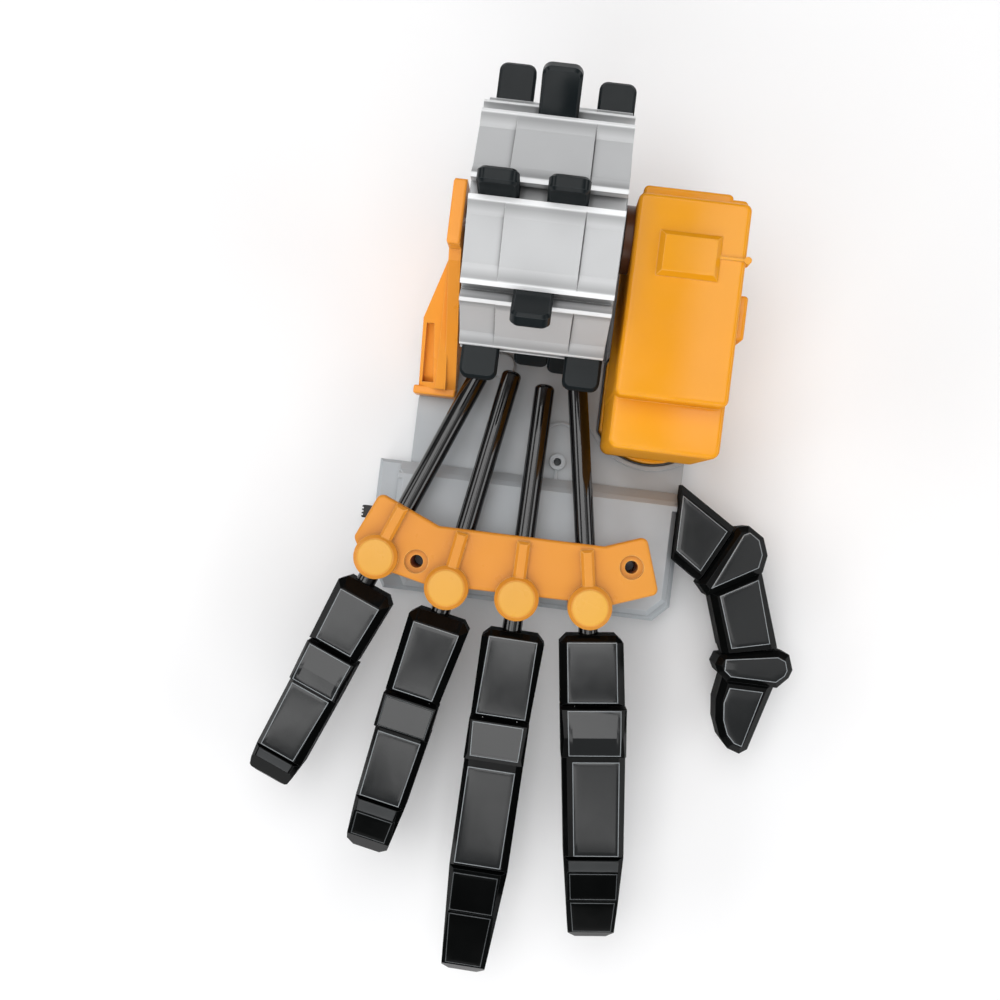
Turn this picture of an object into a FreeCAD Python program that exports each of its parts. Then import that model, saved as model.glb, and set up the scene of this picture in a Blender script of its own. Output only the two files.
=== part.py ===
"""Motor-driven programmable robot hand kit, one solid or group of solids per piece.

Frame: the origin is on the underside of the base, directly below the middle of the drum.
+X points to the motor housing and thumb, -Y along the fingers, +Z up. Millimetres.
"""
import FreeCAD, Part
import math
import os

Vector = FreeCAD.Vector

# ---------------------------------------------------------------- driving dimensions
DRUM_LENGTH = 36.0
DRUM_AXIS_Z = 50.0
SLOT_COUNT = 8
SLOT_PHASE = 2.6            # first slot leans this far from straight up, towards +Y
LIP_RADIUS = 31.35
FACET_RADIUS = 28.7
FACET_STEP = 0.45           # the middle of every facet stands proud of its ends
GROOVE_WIDTH = 0.35         # round the drum at the right end of the proud part
TAB_REACH = dict(short=39.2, medium=41.3, tall=42.8)
TAB_WIDTH = 9.4
TAB_THICKNESS = 3.7
AXLE_RADIUS = 2.0
AXLE_END_RADIUS = 1.2
RUNNING_GAP = 0.08          # radial clearance of every shaft that turns

PLATE_TOP = 9.0
BOX_TOP = 15.0
COVER_THICKNESS = 1.5
WALL = 2.0

PIVOT_Z = 25.0
ROD_RADIUS = 2.75
ROD_END_Z = 18.5
HUB_RADIUS = 3.6
LEVER_PIN_RADIUS = 1.0
NECK_RADIUS = 2.7

BRIDGE_BOTTOM = 30.5
BRIDGE_TOP = 33.5
DISC_RADIUS = 5.9
DISC_TOP = 36.5
DISC_CHAMFER = 1.0

FINGER_BOTTOM = 18.0
FINGER_TOP = 31.5
FINGER_CHAMFER = 2.2
FINGER_CORNER = 2.0
HINGE_SETBACK = 4.5         # knuckle pin from the rear face and underside of its piece
KNUCKLE_GAP = 0.8
TONGUE_RADIUS = 3.4
TONGUE_HALF = 4.6
HINGE_PIN_RADIUS = 1.0

THUMB_BOTTOM = 7.0
THUMB_TOP = 20.0

HOUSING_LEFT = 21.5
HOUSING_RIGHT = 49.0
HOUSING_REAR = 9.5
HOUSING_STEP = -40.0
HOUSING_FRONT = -52.4
HOUSING_BOTTOM = 14.0
HOUSING_TOP = 62.0
HOUSING_LOW_TOP = 55.0
HOUSING_WALL = 1.6
TURRET_X = 35.6
TURRET_Y = -36.2
TURRET_RADIUS = 17.2

SCREW_RADIUS = 1.1
SCREW_HEAD_RADIUS = 2.0

MODULE = 0.4
WHEEL_TEETH = 36
PINION_TEETH = 9
PRESSURE_ANGLE = 25.0
TOOTH_PLAY = 0.06
GEAR_PIN_RADIUS = 0.75
GEAR_SPACING = MODULE * (WHEEL_TEETH + PINION_TEETH) / 2

# Each finger: lever pivot x and y, rod angle, rod rear y, finger angle, then distances from the pivot to the
# finger's rear, the hinge gap, the knuckle's front, the tip piece and the end, the length of the rear slope
# and where the knuckle folds. Sides are the left and right edges at the rear, hinge gap, knuckle rear,
# knuckle front, bar rear, tip piece and end. The tip line is the top of the tip piece: distances and heights.
# Angles turn from straight ahead (-Y) towards -X.
FINGERS = (
    dict(x=-34.5, y=-87.7, rod=21.2, rear_y=-34.5, yaw=22.0,
         start=8.6, hinge=28.2, knuckle=40.0, tip=60.0, end=68.8, rear_slope=3.4, fold=0.6,
         sides=((-6.4, 9.4), (-5.7, 8.7), (-5.6, 9.2), (-5.0, 9.3), (-4.8, 9.3), (-4.3, 9.2), (-3.5, 8.2)),
         tip_line=((60.0, 31.2), (62.9, 30.8), (63.0, 30.4), (67.4, 26.0), (68.8, 22.0))),
    dict(x=-14.9, y=-93.5, rod=9.4, rear_y=-33.0, yaw=11.0,
         start=8.0, hinge=31.5, knuckle=41.4, tip=61.0, end=75.8, rear_slope=3.2, fold=0.9,
         sides=((-7.7, 9.1), (-7.4, 7.6), (-7.5, 7.7), (-7.3, 7.8), (-6.9, 7.9), (-6.2, 7.5), (-5.1, 6.4)),
         tip_line=((61.0, 31.3), (64.6, 30.9), (64.7, 30.5), (71.6, 29.3), (75.8, 23.5))),
    dict(x=3.9, y=-94.1, rod=0.6, rear_y=-35.6, yaw=1.4,
         start=9.6, hinge=33.1, knuckle=44.5, tip=73.6, end=103.2, rear_slope=1.4, fold=0.82,
         sides=((-7.8, 9.2), (-7.6, 8.3), (-7.8, 8.4), (-7.8, 8.4), (-7.6, 8.4), (-7.4, 8.4), (-5.6, 6.1)),
         tip_line=((73.6, 31.4), (85.6, 30.9), (85.7, 30.5), (100.4, 28.9), (103.2, 24.5))),
    dict(x=23.4, y=-94.0, rod=-9.6, rear_y=-34.5, yaw=-7.0,
         start=8.0, hinge=26.8, knuckle=40.3, tip=67.4, end=90.3, rear_slope=1.4, fold=0.58,
         sides=((-7.9, 9.3), (-7.7, 9.7), (-7.7, 10.1), (-7.5, 9.9), (-7.3, 9.8), (-6.8, 9.3), (-5.6, 6.8)),
         tip_line=((67.4, 31.3), (71.0, 31.0), (71.1, 30.6), (79.0, 29.8), (79.1, 29.5),
                   (88.0, 28.0), (90.3, 24.5))),
)

# Cam tabs: the slot they sit in, the place of each along the drum and its height.
TABS = (
    (0, -11.3, "medium"), (0, 4.6, "medium"),
    (1, -0.1, "tall"),
    (2, -11.9, "medium"), (2, 13.7, "short"),
    (3, -3.0, "medium"),
    (4, 8.0, "medium"),
    (5, -0.2, "medium"), (5, 9.0, "tall"),
    (6, -12.6, "short"), (6, 13.2, "short"),
    (7, -0.7, "medium"),
)


# ---------------------------------------------------------------- helpers
def box(x0, x1, y0, y1, z0, z1):
    return Part.makeBox(x1 - x0, y1 - y0, z1 - z0, Vector(x0, y0, z0))


def rod(radius, start, end):
    along = end - start
    return Part.makeCylinder(radius, along.Length, start, along)


def x_rod(radius, x0, x1, y, z):
    return rod(radius, Vector(x0, y, z), Vector(x1, y, z))


def z_rod(radius, x, y, z0, z1):
    return rod(radius, Vector(x, y, z0), Vector(x, y, z1))


def prism(points, z0, z1):
    corners = [Vector(x, y, z0) for x, y in points]
    face = Part.Face(Part.makePolygon(corners + corners[:1]))
    return face.extrude(Vector(0, 0, z1 - z0))


def side_prism(points, x0, x1):
    """Extrude an outline given as (y, z) points along X."""
    corners = [Vector(x0, y, z) for y, z in points]
    face = Part.Face(Part.makePolygon(corners + corners[:1]))
    return face.extrude(Vector(x1 - x0, 0, 0))


def joined(shapes):
    shape = shapes[0]
    if len(shapes) > 1:
        shape = shape.multiFuse(shapes[1:])
    return shape.removeSplitter()


def edge_line(edge):
    return (edge.Vertexes[-1].Point - edge.Vertexes[0].Point) if len(edge.Vertexes) > 1 else Vector()


def upright(edge):
    line = edge_line(edge)
    return line.Length > 0.5 and abs(line.z) > 0.99 * line.Length


def level_at(*heights):
    def test(edge):
        bounds = edge.BoundBox
        return any(abs(bounds.ZMin - z) < 0.01 and abs(bounds.ZMax - z) < 0.01 for z in heights)
    return test


def filleted(shape, radius, test):
    return shape.makeFillet(radius, [edge for edge in shape.Edges if test(edge)])


def chamfered(shape, size, test):
    return shape.makeChamfer(size, [edge for edge in shape.Edges if test(edge)])


def slab(points, z0, z1, chamfer):
    """A flat piece with its top and bottom edges chamfered all round."""
    return chamfered(prism(points, z0, z1), chamfer, level_at(z0, z1))


def rounded_box(x0, x1, y0, y1, z0, z1, corner, top):
    shape = filleted(box(x0, x1, y0, y1, z0, z1), corner, upright)
    return filleted(shape, top, level_at(z1))


def placed(shape, x, y, turn):
    """Turn a shape about Z through its own origin, then move it."""
    copy = shape.copy()
    copy.rotate(Vector(0, 0, 0), Vector(0, 0, 1), turn)
    copy.translate(Vector(x, y, 0))
    return copy


def screw_up(x, y, head_z, end_z, head_height):
    """A screw put in from below, with its head under head_z."""
    head = z_rod(SCREW_HEAD_RADIUS, x, y, head_z - head_height, head_z)
    return z_rod(SCREW_RADIUS, x, y, head_z, end_z).fuse(head)


def save(name, *shapes):
    """Write one piece, after a look at each of its solids."""
    solids = []
    for shape in shapes:
        solids.extend(shape.Solids)
    for solid in solids:
        if not solid.isValid() or solid.Volume <= 0:
            raise ValueError(name + " holds a bad solid")
    result = solids[0] if len(solids) == 1 else Part.makeCompound(solids)
    result.exportStep(os.path.join("parts", name + ".step"))
    print("%-22s %2d solid(s) %10.1f mm3" % (name, len(solids), result.Volume))


# ---------------------------------------------------------------- drum
def slot_direction(index):
    return SLOT_PHASE + index * 360.0 / SLOT_COUNT


def drum_section(facet_radius):
    """Outline of the drum as (y, z) points: T-slots with flared lips between flat facets."""
    half_pitch = math.pi / SLOT_COUNT
    lip_half = 1.92
    fold_side = facet_radius * math.tan(half_pitch) - 6.4
    points = []
    for index in range(SLOT_COUNT):
        lean = math.radians(slot_direction(index))
        outward = (math.sin(lean), math.cos(lean))
        sideways = (math.cos(lean), -math.sin(lean))
        local = [
            (-lip_half - 1.0, LIP_RADIUS - 0.1), (-lip_half, LIP_RADIUS), (-lip_half, 28.2), (-2.9, 28.2),
            (-2.9, 25.8), (2.9, 25.8), (2.9, 28.2), (lip_half, 28.2), (lip_half, LIP_RADIUS),
            (lip_half + 1.0, LIP_RADIUS - 0.1),
        ]
        for side, out in local:
            points.append((side * sideways[0] + out * outward[0], side * sideways[1] + out * outward[1]))
        middle = lean + half_pitch
        for side in (-fold_side, fold_side):
            points.append((facet_radius * math.sin(middle) + side * math.cos(middle),
                           facet_radius * math.cos(middle) - side * math.sin(middle)))
    return [(y, DRUM_AXIS_Z + z) for y, z in points]


def make_drum():
    half = DRUM_LENGTH / 2
    shell = side_prism(drum_section(FACET_RADIUS), -half, half)
    band = side_prism(drum_section(FACET_RADIUS + FACET_STEP), -half * 0.52, half * 0.5)
    bore = x_rod(23.4, -half - 1, half + 1, 0, DRUM_AXIS_Z)
    groove = side_prism(drum_section(FACET_RADIUS + 2), half * 0.5, half * 0.5 + GROOVE_WIDTH)
    groove = groove.cut(side_prism(drum_section(FACET_RADIUS - 0.5), half * 0.5 - 1, half * 0.5 + 1))
    save("drum_shell", shell.fuse(band).removeSplitter().cut(groove).cut(bore))

    for name, side in (("drum_cap_left", -1), ("drum_cap_right", 1)):
        outer = side * (half + 0.4)
        plug = x_rod(23.4, side * (half - 2.4), outer, 0, DRUM_AXIS_Z)
        hub = x_rod(4.5, 0, outer + side * 0.8, 0, DRUM_AXIS_Z)
        axle = x_rod(AXLE_RADIUS, -half - 4, half + 4, 0, DRUM_AXIS_Z)
        save(name, plug.fuse(hub).cut(axle))

    save("cam_tabs", *[make_tab(slot, place, TAB_REACH[height]) for slot, place, height in TABS])


def make_tab(slot, place, reach):
    """A T-footed peg, modelled standing up in the top slot and then turned to its own."""
    half_t = TAB_THICKNESS / 2
    half_w = TAB_WIDTH / 2
    blade = box(-half_w, half_w, -half_t, half_t, 28.4, reach)
    corners = [edge for edge in blade.Edges
               if edge.BoundBox.ZMin > reach - 0.01 and edge.BoundBox.YLength > 1]
    blade = blade.makeFillet(2.2, corners)
    tip = [edge for edge in blade.Edges if edge.BoundBox.ZMin > reach - 2.3 and edge.BoundBox.YLength < 0.01]
    blade = blade.makeChamfer(0.7, tip)
    foot = box(-half_w, half_w, -2.6, 2.6, 26.1, 28.0)
    neck = box(-half_w, half_w, -half_t, half_t, 27.9, 28.5)
    tab = joined([foot, neck, blade])
    tab.rotate(Vector(0, 0, 0), Vector(1, 0, 0), -slot_direction(slot))
    tab.translate(Vector(place, 0, DRUM_AXIS_Z))
    return tab


# ---------------------------------------------------------------- gears
def gear_section(teeth, centre_y, tooth_direction):
    """Involute gear outline as (y, z) points, with a tooth centred on the given direction."""
    pitch = MODULE * teeth / 2
    base = pitch * math.cos(math.radians(PRESSURE_ANGLE))
    tip = pitch + 0.8 * MODULE
    root = pitch - 1.05 * MODULE
    spread = math.tan(math.radians(PRESSURE_ANGLE)) - math.radians(PRESSURE_ANGLE)
    half_tooth = math.pi / (2 * teeth) - TOOTH_PLAY / (2 * pitch)
    flank_start = max(base, root)
    flank = []
    for step in range(5):
        radius = flank_start + (tip - flank_start) * step / 4
        roll = math.acos(min(1.0, base / radius))
        flank.append((radius, half_tooth + spread - (math.tan(roll) - roll)))
    flank.insert(0, (root, flank[0][1]))
    points = []
    for tooth in range(teeth):
        centre = math.radians(tooth_direction) + 2 * math.pi * tooth / teeth
        for radius, half in flank:
            points.append((radius, centre - half))
        for radius, half in reversed(flank):
            points.append((radius, centre + half))
    return [(centre_y + radius * math.cos(angle), DRUM_AXIS_Z + radius * math.sin(angle))
            for radius, angle in points]


def wheel(centre_y, x0, x1):
    return side_prism(gear_section(WHEEL_TEETH, centre_y, 180.0), x0, x1)


def pinion(centre_y, x0, x1):
    """Its tooth gap faces the wheel behind it, on the +Y side."""
    return side_prism(gear_section(PINION_TEETH, centre_y, 180.0 / PINION_TEETH), x0, x1)


def make_gears():
    centres = [-GEAR_SPACING * step for step in range(4)]
    axle = x_rod(AXLE_RADIUS, -23.6, 25.5, 0, DRUM_AXIS_Z)
    save("drum_axle", axle.fuse(x_rod(AXLE_END_RADIUS, 25.5, 48.2, 0, DRUM_AXIS_Z)))
    save("drum_gear", wheel(0, 23.7, 25.3).cut(x_rod(AXLE_RADIUS, 20, 30, 0, DRUM_AXIS_Z)))
    pins = []
    for name, centre, layer in (("gear_near_drum", centres[1], 25.7), ("gear_near_motor", centres[2], 27.7)):
        bore = x_rod(GEAR_PIN_RADIUS + RUNNING_GAP, 20, 50, centre, DRUM_AXIS_Z)
        save(name, joined([wheel(centre, layer, layer + 1.6), pinion(centre, layer - 2.1, layer)]).cut(bore))
        pins.append(x_rod(GEAR_PIN_RADIUS, 22.3, 48.2, centre, DRUM_AXIS_Z))
    save("gear_pins", *pins)
    shaft = x_rod(0.5, 27.4, 30.9, centres[3], DRUM_AXIS_Z)
    save("motor_shaft", shaft)
    save("motor_pinion", pinion(centres[3], 27.6, 29.4).cut(shaft))
    can = box(31.2, 46.2, centres[3] - 5, centres[3] + 5, DRUM_AXIS_Z - 6, DRUM_AXIS_Z + 6)
    save("motor", filleted(can, 1.5, lambda edge: edge.BoundBox.XLength > 10))
    return centres


# ---------------------------------------------------------------- motor housing
def housing_outside():
    """Outer form: tall rear box, lower front box, ledges at the back, raised crown with its rib and knob."""
    bottom, shelf = HOUSING_BOTTOM + 6, 57.5
    left, right, rear = HOUSING_LEFT, HOUSING_RIGHT, HOUSING_REAR
    body = rounded_box(left, right, HOUSING_STEP, rear, HOUSING_BOTTOM, HOUSING_TOP, 1.8, 1.1)
    front = rounded_box(left + 0.3, right + 0.4, HOUSING_FRONT, -30,
                        HOUSING_BOTTOM, HOUSING_LOW_TOP, 2.4, 1.1)
    ledge = rounded_box(left + 1.3, right - 4.2, 0, rear + 3.0, bottom, shelf, 1.2, 0.8)
    lip = rounded_box(right - 6, right - 0.4, 0, rear + 1.8, bottom, shelf, 1.2, 0.8)
    foot = box(28, 44, 0, 8, PLATE_TOP, HOUSING_BOTTOM + 1)
    crown_outline = [(27.7, -10.2), (42.7, -10.2), (42.7, 0.8), (27.7, 0.8)]
    crown = slab(crown_outline, HOUSING_TOP - 1.5, HOUSING_TOP + 1.6, 1.2)
    rib = box(42, 49.6, -4.6, -3.9, HOUSING_TOP - 1.5, HOUSING_TOP + 0.5)
    knob = z_rod(0.9, 49.3, -4.25, HOUSING_TOP - 4, HOUSING_TOP + 0.6)
    return joined([body, front, ledge, lip, foot, crown, rib, knob])


def housing_inside():
    left, right = HOUSING_LEFT + HOUSING_WALL, HOUSING_RIGHT - HOUSING_WALL
    bottom, rear = HOUSING_BOTTOM + HOUSING_WALL, HOUSING_REAR - HOUSING_WALL
    upper = box(left, right, HOUSING_STEP + 1, rear, bottom, HOUSING_TOP - HOUSING_WALL)
    front = box(left, right, HOUSING_FRONT + 2.2, HOUSING_STEP + 2, bottom, HOUSING_LOW_TOP - HOUSING_WALL)
    return upper.fuse(front)


def make_housing(centres):
    shell = housing_outside().cut(housing_inside())
    motor_y = centres[3]
    cradle = box(33, 44.5, motor_y - 3.5, motor_y + 3.5, HOUSING_BOTTOM + 1, DRUM_AXIS_Z - 6)
    cheek = box(46.6, 48.5, -4, 4, HOUSING_BOTTOM + 1, DRUM_AXIS_Z + 4)
    shell = joined([shell, cradle, cheek.common(housing_outside())])
    holes = [x_rod(GEAR_PIN_RADIUS, 22.3, 48.2, centre, DRUM_AXIS_Z) for centre in centres[1:3]]
    holes.append(x_rod(AXLE_END_RADIUS + RUNNING_GAP, 40, 48.3, 0, DRUM_AXIS_Z))
    holes.append(x_rod(3.2, 20, 23.2, 0, DRUM_AXIS_Z))
    screws = [(29.0, 5.0), (43.0, 5.0), (26.5, -47.5), (44.5, -47.5)]
    post_tops = [HOUSING_TOP - 1, HOUSING_TOP - 1, HOUSING_LOW_TOP - 1, HOUSING_LOW_TOP - 1]
    posts = [z_rod(2.6, x, y, HOUSING_BOTTOM + 1, top) for (x, y), top in zip(screws, post_tops)]
    shell = joined([shell] + posts)
    head_z = DRUM_AXIS_Z - 8.0
    screw_set = [screw_up(x, y, head_z, DRUM_AXIS_Z + 3.5, 1.2) for x, y in screws]
    shafts = [z_rod(2.05, x, y, 0, head_z - 1.2) for x, y in screws]
    shell = shell.cut(Part.makeCompound(holes + screw_set)).cut(Part.makeCompound(shafts))
    reach = (0, 70, -80, 30)
    save("housing_lower", shell.common(box(*reach, 0, DRUM_AXIS_Z)))
    save("housing_upper", shell.common(box(*reach, DRUM_AXIS_Z, 80)))
    save("housing_screws", *screw_set)

    clip = rounded_box(HOUSING_RIGHT, HOUSING_RIGHT + 2.4, -22.8, -11.7, 43, 57, 0.9, 0.8)
    save("housing_clip", clip)
    flange = x_rod(8.5, 19.4, HOUSING_LEFT, 0, DRUM_AXIS_Z)
    sleeve = x_rod(3.2, HOUSING_LEFT, 23.1, 0, DRUM_AXIS_Z)
    save("axle_bush", flange.fuse(sleeve).cut(x_rod(AXLE_RADIUS + RUNNING_GAP, 18, 25, 0, DRUM_AXIS_Z)))
    turret = z_rod(TURRET_RADIUS, TURRET_X, TURRET_Y, 4.5, HOUSING_BOTTOM)
    turret = turret.common(box(HOUSING_LEFT - 0.3, HOUSING_RIGHT, -80, 0, 0, 40))
    hollow = z_rod(TURRET_RADIUS - 3.4, TURRET_X, TURRET_Y, 3, HOUSING_BOTTOM - 2)
    save("turret", turret.cut(hollow.common(box(HOUSING_LEFT + 2.2, HOUSING_RIGHT, -80, 0, 0, 40))))


# ---------------------------------------------------------------- left bracket
def make_bracket():
    """Plate with the bearing head, a sloping wing with a pocket, a raised strip and a foot flange."""
    foot_y = -40.1
    outline = [(foot_y, 9), (12, 9), (8, 38), (8, 60), (-8, 60), (-8, 54), (-10.5, 52), (foot_y, 15)]
    plate = side_prism(outline, -23.4, -20.3)
    head = rounded_box(-23.7, -20.3, -8, 8, 40, 60.4, 0.8, 0.6)
    slope = side_prism([(-42, 9), (-42, 16), (-8, 47.9), (-8, 9)], -40, -20)
    fall = Part.Face(Part.makePolygon([Vector(-23, y, z) for y, z in
                                       ((-42, 0), (-42, 15.6), (-8, 47.5), (-8, 0), (-42, 0))]))
    fall = fall.extrude(Vector(-9, 0, -4))
    wing = prism([(-23, -9), (-23.8, -9), (-30.1, -22.6), (-30.9, foot_y), (-23, foot_y)], PLATE_TOP, 50)
    strip = prism([(-23, -9), (-23.9, -9), (-26.0, foot_y), (-23, foot_y)], PLATE_TOP, 50)
    pocket = prism([(-29.1, -23.8), (-29.9, -38.4), (-26.6, -38.4), (-27.0, -23.8)], 10, 60)
    pocket = pocket.cut(fall.translated(Vector(0, 0, -2.4)))
    wing = wing.common(fall).cut(pocket)
    flange = rounded_box(-32.2, -20.3, -41.8, -39.4, PLATE_TOP, 15.5, 0.6, 0.6)
    bracket = joined([plate, head, wing, strip.common(slope), flange])
    screws = [screw_up(-25.6, y, 7.0, 14.5, 1.4) for y in (-36.6, -29.6)]
    bore = x_rod(AXLE_RADIUS + RUNNING_GAP, -23.8, -19, 0, DRUM_AXIS_Z)
    save("left_bracket", bracket.cut(Part.makeCompound(screws)).cut(bore))
    save("bracket_screws", *screws)
    return screws


# ---------------------------------------------------------------- base
def base_outline(margin):
    """Plan of the base, drawn in by a margin for the cover that sits inside its rim."""
    rear = 14 - margin
    front = -97.6 + margin
    neck = -61 - margin
    return [
        (-39.6 + margin, -61), (-39.6 + margin, -86), (-32.8 + 0.6 * margin, front), (39.0, front),
        (44.0, -96.2 + margin), (47.2 - margin, -91), (47.2 - margin, neck), (46.4 - margin, neck),
        (46.4 - margin, -50), (50.5 - margin, -45), (50.5 - margin, -12), (44.0 - margin, rear),
        (-24.5 + margin, rear), (-24.5 + margin, -14), (-31.0 + margin, -42.5), (-31.0 + margin, -61),
    ]


def front_outline(left, right, front, rear):
    """Plan of the base's front box, with a long corner on the left and a short one on the right."""
    return [(left, rear), (left, front + 9), (left + 5, front), (right - 4.5, front), (right, front + 4.5),
            (right, rear)]


SWITCH_Y = -76.8
BRIDGE_SCREWS = ((-23.8, -87.7), (33.2, -82.2))
BRIDGE_SCREW_RADIUS = 0.9
COVER_SCREWS = ((-36.0, -66.0), (43.0, -66.0), (-20.0, 10.0), (40.0, 10.0))
DOOR = (-27.0, 22.0, -93.0, -68.0)


def make_base(bracket_screws):
    """The base shell with its rooms and bosses, the cover under it, the battery door and what is inside."""
    bottom = COVER_THICKNESS
    plate = prism(base_outline(0), bottom, PLATE_TOP)
    ledge = slab(front_outline(-39.6, 47.2, -97.6, -61.0), bottom, PLATE_TOP + 1.2, 0.9)
    raised = slab(front_outline(-33.4, 45.4, -95.9, -63.2), PLATE_TOP, BOX_TOP, 1.4)
    slope = [(-61, PLATE_TOP), (-61, PLATE_TOP + 1.0), (-64.6, BOX_TOP), (-66, BOX_TOP), (-66, PLATE_TOP)]
    ramp = side_prism(slope, -33.4, 45.4)
    ring = z_rod(TURRET_RADIUS + 2.0, TURRET_X, TURRET_Y, PLATE_TOP - 1, PLATE_TOP + 0.6)
    ring = ring.common(prism(base_outline(0), 0, 30))
    boss = z_rod(2.3, 10.6, -56.0, PLATE_TOP - 1, PLATE_TOP + 1.2)
    boss_rib = box(10.3, 10.9, -61.5, -56.0, PLATE_TOP - 1, PLATE_TOP + 0.7)
    base = joined([plate, ledge, raised, ramp, ring, boss, boss_rib])
    well = box(-19.8, 20.9, -26, 15, 4.5, 30)
    deck_boss = z_rod(3.4, -8.2, -30.6, PLATE_TOP - 1, PLATE_TOP + 2.0)
    deck_boss = filleted(deck_boss, 0.5, level_at(PLATE_TOP + 2.0))
    arch = z_rod(5.4, 10.6, -50.0, PLATE_TOP - 1, PLATE_TOP + 0.6).cut(z_rod(4.7, 10.6, -50.0, 0, 20))
    arch = arch.common(box(0, 20, -49.0, -40, 0, 20))
    turret_seat = z_rod(TURRET_RADIUS + 0.8, TURRET_X, TURRET_Y, 4.5, 30)
    turret_seat = turret_seat.common(box(HOUSING_LEFT - 1.1, 60, -80, 20, 0, 40))
    battery_room = box(-30.0, 41.0, -94.0, -66.0, 0, BOX_TOP - WALL)
    switch_room = box(-37.6, -29.9, -84.5, -69.5, 0, PLATE_TOP - 0.5)
    plate_room = box(-28.5, 12.0, -59.0, -28.0, 0, PLATE_TOP - WALL)
    switch_slot = box(-41, -37, SWITCH_Y - 3.9, SWITCH_Y + 1.1, 5.6, 8.0)
    room_posts = [z_rod(4.2, x, y, bottom, BOX_TOP) for x, y in BRIDGE_SCREWS]
    screw_room = [z_rod(BRIDGE_SCREW_RADIUS, x, y, BOX_TOP - 6, BOX_TOP) for x, y in BRIDGE_SCREWS]
    cover_screws = [screw_up(x, y, 1.0, 7.5, 0.8) for x, y in COVER_SCREWS]
    boss_hole = z_rod(1.1, 10.6, -56.0, 4, 20)
    base = base.cut(Part.makeCompound([well])).cut(turret_seat)
    base = base.cut(joined([battery_room, switch_room])).cut(plate_room).cut(switch_slot)
    thumb_tenon = box(41.0, 47.2, -76.5, -66.5, 9.0, 13.0)
    base = joined([base, deck_boss, arch] + room_posts)
    base = base.cut(Part.makeCompound(screw_room + cover_screws + bracket_screws))
    base = base.cut(boss_hole).cut(thumb_tenon)
    save("base_shell", base)

    cover = prism(base_outline(0.4), 0, bottom)
    door = box(*DOOR, 0, bottom)
    save("base_cover", cover.cut(door).cut(Part.makeCompound(cover_screws)))
    save("cover_screws", *cover_screws)
    x0, x1, y0, y1 = DOOR
    left, right, front, rear = x0 + 0.2, x1 - 0.2, y0 + 0.2, y1 - 0.2
    save("battery_door", slab([(left, front), (right, front), (right, rear), (left, rear)], 0.2, bottom, 0.3))

    cells = []
    contacts = []
    for index, y in enumerate((-74.5, -86.0)):
        side = 1 if index else -1
        cell = x_rod(5.2, -18.6, 25.1, y, 7.0).fuse(x_rod(1.9, -18.6, 25.9, y, 7.0))
        if side > 0:
            cell.rotate(Vector(3.65, y, 7.0), Vector(0, 0, 1), 180)
        cells.append(cell)
        for x in (-19.1, 25.9):
            contacts.append(box(x, x + 0.5, y - 4, y + 4, 2.5, 11.5))
    save("batteries", *cells)
    save("battery_contacts", *contacts)
    save("switch_body", box(-36.2, -30.2, -84.0, -70.0, 2.0, 8.3))
    make_switch_knob()


def make_switch_knob():
    """A ribbed thumb slide outside the wall, with a stem through the wall's slot."""
    y0 = SWITCH_Y - 1.7
    grip = rounded_box(-43.2, -39.8, y0, y0 + 3.6, 4.2, 9.6, 0.4, 0.4)
    ribs = [box(-44, -42.7, y0 + 0.6 + 0.95 * step, y0 + 1.1 + 0.95 * step, 3, 11) for step in range(3)]
    stem = box(-40, -36.4, SWITCH_Y - 0.8, SWITCH_Y + 0.8, 5.9, 7.7)
    save("switch_knob", joined([grip.cut(Part.makeCompound(ribs)), stem]))


# ---------------------------------------------------------------- knuckle bridge
def finger_frame(finger, angle_key):
    """Turn that takes the local -Y direction to the finger's own direction."""
    return finger["x"], finger["y"], -finger[angle_key]


def make_bridge():
    """Plate on two posts, with a bearing cap, a rib and two cheeks for each lever."""
    outline = [(-41.2, -83.2), (-37.6, -89.8), (-21.3, -93.4), (28.8, -93.0), (41.2, -88.4), (36.2, -73.6),
               (25.4, -77.6), (-18.9, -77.6), (-35.6, -70.6)]
    plate = prism(outline, BRIDGE_BOTTOM, BRIDGE_TOP)
    plate = filleted(plate, 1.8, upright)
    plate = filleted(plate, 0.9, level_at(BRIDGE_TOP))
    pieces = [plate]
    pins = []
    for finger in FINGERS:
        frame = finger_frame(finger, "rod")
        cap = chamfered(z_rod(DISC_RADIUS, 0, 0, 29.2, DISC_TOP), DISC_CHAMFER, level_at(DISC_TOP))
        rib = slab([(-1.75, 4), (1.75, 4), (1.75, 15.2), (-1.75, 15.2)], BRIDGE_TOP - 1, DISC_TOP - 0.7, 0.8)
        pieces.append(placed(cap.fuse(rib), *frame))
        for side in (-1, 1):
            cheek = box(3.1, 5.2, -3.0, 3.0, 21.6, 30.0)
            cheek.rotate(Vector(0, 0, 0), Vector(0, 0, 1), 0 if side > 0 else 180)
            pieces.append(placed(cheek, *frame))
        pins.append(placed(x_rod(LEVER_PIN_RADIUS, -5.2, 5.2, 0, PIVOT_Z), *frame))
    pieces.extend(z_rod(4.2, x, y, BOX_TOP, BRIDGE_TOP - 1) for x, y in BRIDGE_SCREWS)
    bridge = joined(pieces).cut(Part.makeCompound(pins))
    screws = []
    head_z = BOX_TOP + 3.0
    for x, y in BRIDGE_SCREWS:
        well = z_rod(3.2, x, y, BRIDGE_TOP - 1.2, 40).fuse(z_rod(1.75, x, y, head_z, 40))
        bridge = bridge.cut(well).cut(z_rod(BRIDGE_SCREW_RADIUS, x, y, BOX_TOP - 1, head_z + 1))
        shank = z_rod(BRIDGE_SCREW_RADIUS, x, y, BOX_TOP - 6, head_z)
        screws.append(shank.fuse(z_rod(1.6, x, y, head_z, head_z + 1.4)))
    save("knuckle_bridge", bridge)
    save("bridge_screws", *screws)
    save("lever_pins", *pins)


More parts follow.
